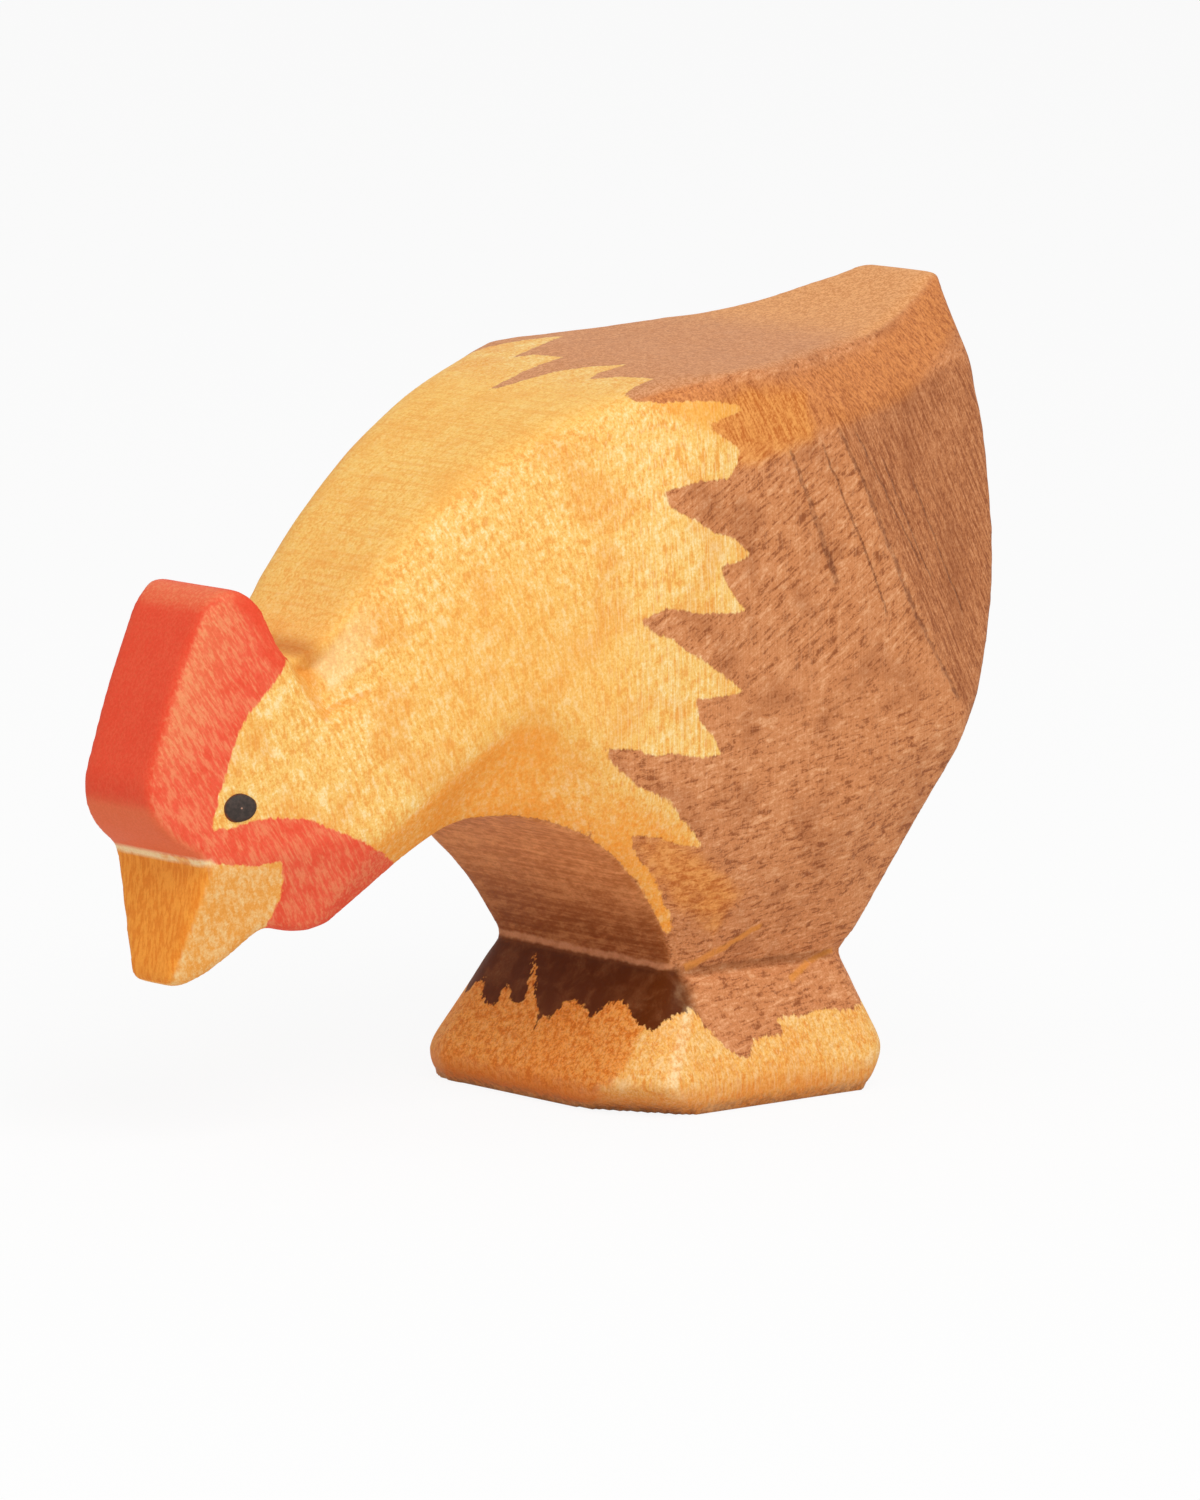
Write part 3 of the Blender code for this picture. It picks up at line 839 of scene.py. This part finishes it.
def make_body(node, carving):
    """The carved body, sanded and cut, with the masks that its material reads."""
    body = carved_copy(node, carving)
    mesh = body.data
    points, normals = points_of(mesh), read_points(mesh, "normal")
    underside = (points[:, 2] < UNDERSIDE_HEIGHT) & (normals[:, 2] < UNDERSIDE_TURN)
    sharpness = edge_sharpness(mesh, points, normals)
    points = soften(mesh, points, normals)
    keep_points(mesh, points)
    normals = read_points(mesh, "normal")
    in_scoop = inside_by(points[:, 1], points[:, 2], SCOOP)
    points = carve_scoop(points, normals, in_scoop)
    points = carve_ripples(points, normals, carving.ripple / MM)
    points[:, 2] = np.where(underside, 0.0, np.maximum(points[:, 2], 0.0))
    keep_points(mesh, points)

    measures = finished_measures(points, normals, sharpness=sharpness, in_scoop=in_scoop)
    masks = {name: area(measures, ranges) for name, ranges in AREAS.items()}
    masks.update(stain_borders(points, measures))
    masks.update(joined_areas(measures))
    for name, values in masks.items():
        write_mask(mesh, name, values)
    mesh.shade_smooth()
    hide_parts("hen_body")
    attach(body, "root")
    return body


def wood_patterns(hen):
    """Noise in the sizes and directions of the grain and of the marks that tools left."""
    flat = hen.turned()
    wood = SimpleNamespace(
        broad=hen.cloud(flat, 3.6),
        patch=hen.cloud(flat, 1.5, detail=3.0, roughness=0.6, distortion=0.4),
        fleck=hen.cloud(flat, 0.4, detail=3.0, roughness=0.65),
        speck=hen.cloud(flat, 0.15, roughness=0.7),
        upright=hen.dashes(lean=-2.0, width=0.25, length=1.1),
        sanding=hen.dashes(-1.0, 0.11, 4.0, detail=1.0, roughness=0.5, distortion=0.0),
        saw_lines=hen.cloud(
            hen.turned(stretch=(0.05, 1.0, 1.0)), 0.26, roughness=0.6, distortion=0.4
        ),
        wobble=hen.swing(hen.cloud(flat, 1.1, roughness=0.6), 0.5),
    )
    fine = (wood.fleck, 0.22)
    wood.pore = hen.weighted((wood.fleck, 0.45), (wood.speck, 0.55))

    # The golden stain's dashes lean on the neck and stand upright behind it.
    leaning = hen.dashes(lean=-17.0, width=0.27, length=1.0)
    rows = hen.dashes(58.0, 0.7, 3.2, roughness=0.55, distortion=0.5)
    wood.dash = hen.between("rear_half", leaning, wood.upright)
    wood.mottle = hen.weighted(
        (wood.dash, 0.37), (rows, 0.19), (wood.patch, 0.06), fine, (wood.speck, 0.16)
    )

    # The brown stain's dashes rise on the flank, lie level low on it, and are long and steep on
    # the rear facet and on the bevel.
    rising = hen.dashes(58.0, 0.26, 1.2, detail=3.0, roughness=0.65, distortion=0.5)
    level = hen.dashes(80.0, 0.28, 1.2, detail=3.0, roughness=0.65, distortion=0.6)
    wood.steep = hen.dashes(-30.0, 0.2, 2.0, roughness=0.65)
    long_lines = hen.dashes(-28.0, 0.2, 9.0, distortion=0.05)
    flank_dashes = hen.between("low_flank", rising, level)
    wood.grain = hen.between(
        hen.most("rear_facet", "tail_bevel"),
        hen.weighted((flank_dashes, 0.5), (wood.patch, 0.16), fine, (wood.speck, 0.12)),
        hen.weighted(
            (wood.steep, 0.36), (long_lines, 0.16), (wood.fleck, 0.26), (wood.speck, 0.22)
        ),
    )

    # Saw lines and scrapes under the neck.
    scraped = hen.turned((0.0, 28.0, 0.0), (0.07, 1.0, 1.0))
    scrapes = hen.cloud(scraped, 0.36, roughness=0.6, distortion=0.5)
    wood.combed = hen.weighted(
        (wood.saw_lines, 0.35), (scrapes, 0.25), (wood.patch, 0.2), (wood.fleck, 0.2)
    )
    return wood


def golden_stain(hen, wood, stains):
    """The head, the neck, the breast and the foot's rim."""
    rise, between = hen.rise, hen.between
    calm = hen.most("neck_top", "foot_front")
    foot_gold = hen.blend(rise(wood.pore, 0.42, 0.58), FOOT_GOLDS)
    # Deeper orange on faces that turn down under the neck is painted shade; on the foot, most on
    # its front under the breast, it is partly the foot's deeper paint and partly painted shade.
    low_shade_gold = hen.blend("foot", (UNDER_NECK_SHADE_GOLD, foot_gold))
    low = (("under_side", 0.72), ("foot", 0.3), ("foot_front", 0.95))
    low = hen.most(*(hen.times(*part) for part in low))
    return hen.coats(
        stains.golden,
        (stains.golden_deep, rise(wood.mottle, 0.51, 0.42), 0.7),
        (stains.golden_pale, rise(wood.mottle, 0.5, 0.6), between(calm, 0.8, 0.4)),
        (stains.golden_deep, rise(wood.broad, 0.48, 0.66), 0.38),
        (NECK_GOLD, "mid_neck", 0.38),
        (stains.golden_pale, rise(wood.sanding, 0.5, 0.68), between("rear_half", 0.12, 0.45)),
        (stains.golden_deep, rise(wood.saw_lines, 0.5, 0.36), between("neck_top", 0.0, 0.42)),
        (low_shade_gold, low, rise(wood.fleck, 0.35, 0.6, 1.0, 0.66)),
        (BEVEL_GOLD, "tail_bevel", 0.55),
        # Painted light: the top of the neck made lighter.
        (NECK_TOP_LIT_GOLD, "neck_top", 0.3),
        (RIM_GOLD, "foot_rim", between("foot_front", 0.4, 0.65)),
        (FOOT_EDGE_BROWN, "foot_edge", rise(wood.fleck, 0.4, 0.6, 0.15, 0.65)),
        # Painted light: the scoop's floor made paler.
        (stains.golden_pale, "scoop_floor", 0.45),
        # A line of painted shade along the scoop's lower edge.
        (stains.golden_deep, hen.mark(SCOOP_EDGE_SHADE, wood.wobble), "flank", 0.5),
        # Painted shade on the scoop's wall.
        (SCOOP_WALL_SHADE_GOLD, "scoop_wall", rise(wood.fleck, 0.35, 0.65, 1.0, 0.75)),
    )


def brown_stain(hen, wood, stains):
    """The flanks, the back, the tail and the waist."""
    rise, grain = hen.rise, wood.grain
    strength = hen.between(hen.most("back", "arch"), 0.84, 0.35)
    brown = hen.coats(
        stains.brown,
        (stains.brown_deep, rise(grain, 0.5, 0.4), strength),
        (stains.brown_pale, rise(grain, 0.5, 0.64), strength, hen.between("rear_facet", 1.0, 0.45)),
        (stains.brown_pale, rise(wood.sanding, 0.52, 0.7, 0.0, 0.22)),
        (stains.brown_deep, rise(wood.broad, 0.48, 0.68, 0.0, 0.3)),
        # Partly the rear facet's darker stain, partly painted shade.
        (REAR_BROWN_AND_SHADE, "rear_facet", rise(grain, 0.42, 0.6, 0.62, 0.12)),
        # Partly the paler stain on top, partly painted light on the back and the tail's top.
        (BACK_PALE_AND_LIT_BROWN, "back", 0.75),
        (TAIL_TOP_PALE_AND_LIT_BROWN, "tail_top", 0.75),
    )
    pores = hen.blend(rise(wood.pore, 0.43, 0.57), PORE_SHADES)
    brown = hen.shaded(brown, pores, hen.most("back", "tail_top"))
    bevel_brown = hen.blend(rise(grain, 0.42, 0.58), BEVEL_BROWNS)
    arch_brown = hen.blend(rise(wood.combed, 0.4, 0.62), ARCH_BROWNS)
    golden_brown = hen.blend(rise(grain, 0.42, 0.58), GOLDEN_BROWNS)
    thinned = hen.maths("ADD", "under_brown", hen.swing(wood.patch, 0.9))
    return hen.coats(
        brown,
        (bevel_brown, "tail_bevel", rise(grain, 0.4, 0.6, 0.45, 0.75)),
        (arch_brown, "arch", 0.8),
        # Painted shade low on the arch under the breast.
        (ARCH_LOW_SHADE_BROWN, "arch_low", rise(wood.combed, 0.38, 0.62, 0.9, 0.55)),
        (golden_brown, rise(thinned, 0.1, 0.9), 0.75),
        # Dark brown round the top of the foot under the breast: partly a second coat, partly
        # painted shade.
        (stains.brown_dark_and_shade, "waist_dark", rise(wood.patch, 0.4, 0.66, 1.0, 0.88)),
        (STREAK_GOLD, hen.marks(WAIST_STREAKS, wood.wobble), 0.75),
        # A line of painted shade in the waist crease.
        (stains.brown_dark_and_shade, hen.mark(WAIST_CREASE_SHADE, wood.wobble), "flank", 0.45),
    )


def red_stain(hen, wood, stains):
    """The comb, the face and the wattle."""
    rise = hen.rise
    wear = hen.weighted((wood.steep, 0.7), (wood.patch, 0.3))
    thin = hen.maths("ADD", hen.between("flank", 0.08, 0.5), hen.times("comb_thin", 0.4))
    return hen.coats(
        stains.red,
        (stains.red_deep, rise(wood.patch, 0.5, 0.36, 0.0, 0.5)),
        (stains.red_deep, "facing_front", 0.85),
        (stains.red_pale, rise(wear, 0.42, 0.62), thin),
        (THIN_RED, "comb_thin", 0.4),
        (stains.red_deep, "comb_rear", rise(wood.patch, 0.4, 0.6, 0.5, 0.95)),
        (OVERHANG_RED, "overhang", 0.65),
    )


def beak_stain(hen, wood, stains):
    front = hen.blend(hen.rise(wood.upright, 0.4, 0.6), BEAK_FRONT)
    return hen.coats(
        stains.beak,
        (stains.golden_pale, hen.rise(wood.mottle, 0.42, 0.64, 0.0, 0.62)),
        (stains.golden_deep, hen.rise(wood.mottle, 0.52, 0.38, 0.0, 0.45)),
        (front, "facing_front"),
    )


def make_body_material(stains, carving):
    hen = Stain("stained_wood")
    wood = wood_patterns(hen)
    rise = hen.rise
    cuts = hen.times(hen.marks(KNIFE_MARKS, wood.wobble), "flank")

    # The stains meet along uneven borders.
    both = hen.weighted((wood.upright, 0.5), (wood.patch, 0.5))
    ragged = hen.swing(both, hen.between("foot", 0.9, 1.6))
    golden, beak, red = (
        rise(hen.maths("ADD", name, ragged), -0.08, 0.08)
        for name in ("golden_stain", "beak_stain", "red_stain")
    )
    colour = hen.coats(
        brown_stain(hen, wood, stains),
        (golden_stain(hen, wood, stains), golden),
        (beak_stain(hen, wood, stains), beak),
        (red_stain(hen, wood, stains), red),
        (stains.bare, "ledge", rise(wood.patch, 0.35, 0.55, 0.25, 0.95)),
        # Partly wear, partly a painted highlight on the foot's corner edge.
        (stains.bare, hen.mark(FOOT_CORNER_WEAR_AND_HIGHLIGHT, wood.wobble), "flank",
         rise(wood.fleck, 0.4, 0.62, 0.15, 0.7)),
        (stains.bare, "edge_wear", rise(wood.patch, 0.4, 0.65, 0.0, 0.2)),
        # Painted highlight along the edge over the waist.
        (WAIST_HIGHLIGHT_BROWN, hen.mark(WAIST_HIGHLIGHT, wood.wobble, "front"), "facing_front",
         rise(wood.patch, 0.35, 0.6, 0.6, 1.0)),
    )
    # Painted shade in the notch behind the comb.
    colour = hen.shaded(colour, NOTCH_SHADE, "notch", 0.6)
    colour = hen.coats(colour, (CUT_BROWN, cuts, rise(wood.fleck, 0.4, 0.6, 0.6, 0.25)))
    colour = hen.shaded(colour, hen.blend(rise(wood.speck, 0.3, 0.7), SPECK_SHADES), 1.0)

    height = hen.weighted((wood.grain, 0.45), (wood.dash, 0.3), (wood.speck, 0.25))
    height = hen.maths("SUBTRACT", height, hen.times(cuts, 2.2))
    return hen.finish(colour, rise(wood.grain, 0.3, 0.7, 0.55, 0.7), height, carving.bump, 0.12)


# Eyes


def make_eye(name, node, wood, eyes):
    """A drop of paint that follows the wood under it."""
    points = points_of(node.data)
    middle = points.mean(0)
    spread = np.linalg.eigh(np.cov((points - middle).T))[1]
    out, along = Vector(spread[:, 0]), Vector(spread[:, 2])
    if out.x * middle[0] < 0.0:
        out.negate()
    up = out.cross(along)
    reach = [np.abs((points - middle) @ np.array(way)).max() for way in (along, up)]
    bm = bmesh.new()
    bmesh.ops.create_circle(bm, cap_ends=True, cap_tris=True, segments=eyes.spokes, radius=1.0)
    inner = [edge for edge in bm.edges if len(edge.link_faces) == 2]
    bmesh.ops.subdivide_edges(bm, edges=inner, cuts=eyes.rings - 1, use_grid_fill=True)
    surface = BVHTree.FromObject(wood, bpy.context.evaluated_depsgraph_get())
    centre = Vector(middle) * MM
    for vert in bm.verts:
        radius = min(vert.co.length, 1.0)
        angle = math.atan2(vert.co.y, vert.co.x)
        waves = sum(math.sin(count * angle + start) * wave for count, start, wave in EYE_WAVES)
        flat = along * vert.co.x * reach[0] + up * vert.co.y * reach[1]
        place = centre + flat * (1.0 + eyes.wobble * waves) * MM
        hit = surface.ray_cast(place + out * EYE_SEARCH * MM, -out)[0] or place
        swell = math.sqrt(max(0.0, 1.0 - radius ** 3)) * eyes.height
        vert.co = hit + out * (swell - EYE_SUNK * MM)
    bmesh.ops.recalc_face_normals(bm, faces=bm.faces)
    if sum(face.normal.dot(out) for face in bm.faces) < 0.0:
        bmesh.ops.reverse_faces(bm, faces=bm.faces)
    rim = [edge for edge in bm.edges if edge.is_boundary]
    wall = bmesh.ops.extrude_edge_only(bm, edges=rim)["geom"]
    lower = [part for part in wall if isinstance(part, bmesh.types.BMVert)]
    bmesh.ops.translate(bm, verts=lower, vec=-out * EYE_WALL * MM)
    bottom = [part for part in wall if isinstance(part, bmesh.types.BMEdge)]
    bmesh.ops.holes_fill(bm, edges=bottom, sides=0)
    bmesh.ops.recalc_face_normals(bm, faces=bm.faces)
    eye = modelled(name, bm)
    found = points_of(eye.data) - middle
    shares = (found @ np.array(way) / size for way, size in zip((along, up), reach))
    write_mask(eye.data, "to_rim", np.hypot(*shares))
    eye.data.shade_smooth()
    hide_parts(node.name)
    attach(eye, "root")
    return eye


def make_eye_material(eyes):
    paint = Stain("eye_paint")
    rise = paint.rise
    brush = paint.cloud(paint.turned(), 0.3, detail=3.0, roughness=0.6)
    edge = paint.maths("ADD", "to_rim", paint.times(brush, 0.12))
    colour = paint.coats(
        eyes.black,
        (EYE_STREAKS, rise(brush, 0.35, 0.7)),
        (eyes.rim, rise(edge, 0.95, 1.06)),
        # Painted glint in the middle of the eye.
        (EYE_GLINT, rise("to_rim", 0.03, 0.08, 0.7, 0.0)),
    )
    return paint.finish(colour, rise(brush, 0.3, 0.7, 0.5, 0.65), brush, BRUSH_DEPTH * MM, 0.15)


# Studio


def make_floor(studio):
    """A matt floor that looks nearly white in the picture."""
    bm = bmesh.new()
    bmesh.ops.create_grid(bm, x_segments=2, y_segments=2, size=studio.floor_width / 2.0)
    bmesh.ops.translate(bm, verts=bm.verts, vec=(0.0, 0.0, -FLOOR_DROP * MM))
    floor = modelled("pale_floor", bm)
    material = bpy.data.materials.new("pale_floor")
    recipe = Recipe(material)
    matt = recipe.node("ShaderNodeBsdfDiffuse", Color=studio.floor).outputs["BSDF"]
    white = recipe.node("ShaderNodeEmission", Strength=1.0).outputs["Emission"]
    recipe.show_split("ShaderNodeOutputMaterial", FLOOR_WHITE, matt, white)
    floor.data.materials.append(material)


def make_room(studio):
    """Soft light all round, and plain white in the picture."""
    world = bpy.data.worlds.new("white_room")
    bpy.context.scene.world = world
    recipe = Recipe(world)
    light, white = (
        recipe.node("ShaderNodeBackground", Color=WHITE, Strength=strength).outputs["Background"]
        for strength in (studio.sky, 1.0)
    )
    recipe.show_split("ShaderNodeOutputWorld", 1.0, light, white)


def make_lamp(name, turn, tilt, distance, width, power):
    """A square lamp that points at the hen. Turn 90 is the hen's left."""
    way = way_to(math.radians(turn), math.radians(tilt))
    lamp = bpy.data.lights.new(name, "AREA")
    lamp.shape = "SQUARE"
    lamp.size = width
    lamp.energy = power
    stand = in_scene(name, lamp)
    stand.location = (CAD_BOX[0] + CAD_BOX[1]) / 2.0 + way * distance
    stand.rotation_euler = way.to_track_quat("Z", "Y").to_euler()


def make_camera(studio):
    """The photograph's camera, as far as the picture tells."""
    back = way_to(studio.azimuth, studio.elevation)
    right = Vector((math.cos(studio.azimuth), math.sin(studio.azimuth), 0.0))
    up = back.cross(right)
    lens = bpy.data.cameras.new("photo_camera")
    lens.lens = studio.lens
    lens.sensor_width = 36.0
    lens.sensor_fit = "AUTO"
    lens.clip_start, lens.clip_end = 0.01, 50.0
    camera = in_scene("photo_camera", lens)
    place = back * studio.distance + (right * SIGHT_LINE[0] + up * SIGHT_LINE[1]) * MM
    axes = Matrix((right, up, back)).transposed().to_4x4()
    camera.matrix_world = Matrix.Translation(place) @ axes
    bpy.context.scene.camera = camera


# Operators


class HEN_OT_stage(bpy.types.Operator):
    """Make the pale floor, the lamps and the camera"""

    bl_idname = "hen.make_stage"
    bl_label = "Make the studio"

    def execute(self, context):
        studio = context.scene.hen_studio
        context.scene.view_settings.view_transform = "Standard"
        make_floor(studio)
        make_room(studio)
        make_lamp("key_lamp", turn=74.0, tilt=46.0, distance=0.8, width=0.5, power=studio.key)
        make_lamp("fill_lamp", turn=-10.0, tilt=40.0, distance=0.9, width=0.6, power=studio.fill)
        make_camera(studio)
        return {"FINISHED"}


class HEN_OT_body(bpy.types.Operator):
    """Finish and stain the carved body"""

    bl_idname = "hen.make_body"
    bl_label = "Stain the body"

    def execute(self, context):
        scene = context.scene
        body = make_body(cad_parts["hen_body"], scene.hen_carving)
        body.data.materials.append(make_body_material(scene.hen_stains, scene.hen_carving))
        return {"FINISHED"}


class HEN_OT_eyes(bpy.types.Operator):
    """Paint both eyes on the wood"""

    bl_idname = "hen.make_eyes"
    bl_label = "Paint the eyes"

    def execute(self, context):
        eyes = context.scene.hen_eyes
        wood = bpy.data.objects.get("stained_hen")
        if wood is None:
            raise RuntimeError("The body comes before the eyes")
        paint = make_eye_material(eyes)
        for side in ("left", "right"):
            eye = make_eye("painted_eye_" + side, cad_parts["eye_" + side], wood, eyes)
            eye.data.materials.append(paint)
        return {"FINISHED"}


# Each step with the groups of properties that it reads.
STEPS = {
    HEN_OT_stage: {"hen_studio": HenStudio},
    HEN_OT_body: {"hen_carving": HenCarving, "hen_stains": HenStains},
    HEN_OT_eyes: {"hen_eyes": HenEyes},
}
GROUPS = {name: group for groups in STEPS.values() for name, group in groups.items()}


class HEN_PT_sidebar(bpy.types.Panel):
    """The hen's sizes, colours and steps"""

    bl_idname = "HEN_PT_sidebar"
    bl_label = "Carved wooden hen"
    bl_space_type = "VIEW_3D"
    bl_region_type = "UI"
    bl_category = "Hen"

    def draw(self, context):
        for operator, groups in STEPS.items():
            box = self.layout.box()
            for group in groups:
                group = getattr(context.scene, group)
                for name in group.bl_rna.properties.keys():
                    if name not in ("rna_type", "name"):
                        box.prop(group, name)
            box.operator(operator.bl_idname)


CLASSES = (*GROUPS.values(), *STEPS, HEN_PT_sidebar)


def register():
    for part in CLASSES:
        bpy.utils.register_class(part)
    for name, group in GROUPS.items():
        setattr(bpy.types.Scene, name, PointerProperty(type=group))


def unregister():
    for name in GROUPS:
        delattr(bpy.types.Scene, name)
    for part in reversed(CLASSES):
        bpy.utils.unregister_class(part)


def main():
    register()
    bpy.ops.hen.make_stage()
    bpy.ops.hen.make_body()
    bpy.ops.hen.make_eyes()


if __name__ == "__main__":
    main()
